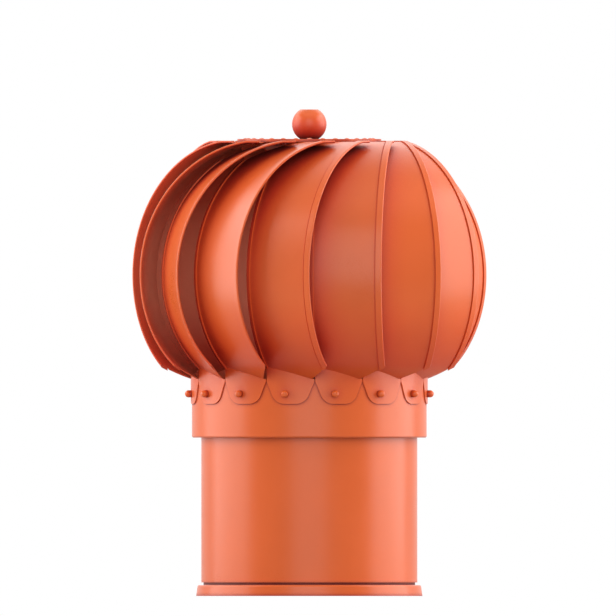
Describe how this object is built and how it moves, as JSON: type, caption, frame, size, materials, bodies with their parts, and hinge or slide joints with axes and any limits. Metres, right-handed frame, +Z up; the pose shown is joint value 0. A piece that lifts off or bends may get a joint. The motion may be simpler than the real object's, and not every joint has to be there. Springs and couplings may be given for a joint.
{
  "type": "rotating chimney cowl",
  "caption": "Chimney cowl with a round bladed head that spins in the wind on a ball-bearing spindle above a plain flue pipe with a flared foot.",
  "frame": {"origin": "on the flue's axis, at the foot ring's lower edge", "axes": "+Z up along the flue's axis, about which the head turns; the picture looks along +Y, with +X to its right"},
  "size_m": [0.2459, 0.2447, 0.3379],
  "materials": {
    "paint": "satin brick-red paint",
    "zinc": "dull zinc plate",
    "polished": "polished",
    "brass": "plain"
  },
  "bodies": {
    "base": {"base_pipe": "paint", "foot_ring": "paint", "bracket_bar_lower": "zinc", "bracket_bar_upper": "zinc", "bracket_rivets": "paint", "spindle": "zinc", "bracket_washer": "zinc", "bracket_nut": "zinc", "bearing_nut": "zinc", "upper_bearing_inner_race": "zinc", "lower_bearing_inner_race": "zinc", "inner_spacer": "zinc"},
    "head": {"collar_ring": "paint", "collar_rivets": "paint", "blade_01": "paint", "blade_02": "paint", "blade_03": "paint", "blade_04": "paint", "blade_05": "paint", "blade_06": "paint", "blade_07": "paint", "blade_08": "paint", "blade_09": "paint", "blade_10": "paint", "blade_11": "paint", "blade_12": "paint", "blade_13": "paint", "blade_14": "paint", "blade_15": "paint", "top_disc": "paint", "disc_rivets": "paint", "ball_knob": "paint", "knob_stud": "zinc", "bearing_housing": "zinc", "housing_screws": "paint", "upper_bearing_outer_race": "zinc", "lower_bearing_outer_race": "zinc", "outer_spacer": "zinc", "retaining_ring": "zinc"},
    "upper_rollers": {"upper_bearing_balls": "polished", "upper_bearing_cage": "brass"},
    "lower_rollers": {"lower_bearing_balls": "polished", "lower_bearing_cage": "brass"}
  },
  "joints": [
    {"name": "head_spin", "type": "hinge", "parent": "base", "child": "head", "pos_m": [0, 0, 0.285], "axis": [0, 0, 1], "continuous": true},
    {"name": "upper_rollers_spin", "type": "hinge", "parent": "base", "child": "upper_rollers", "pos_m": [0, 0, 0.295], "axis": [0, 0, 1], "continuous": true},
    {"name": "lower_rollers_spin", "type": "hinge", "parent": "base", "child": "lower_rollers", "pos_m": [0, 0, 0.275], "axis": [0, 0, 1], "continuous": true}
  ],
  "couplings": [
    {"joint": "upper_rollers_spin", "follows": "head_spin", "ratio": 0.6306},
    {"joint": "lower_rollers_spin", "follows": "head_spin", "ratio": 0.6306}
  ]
}
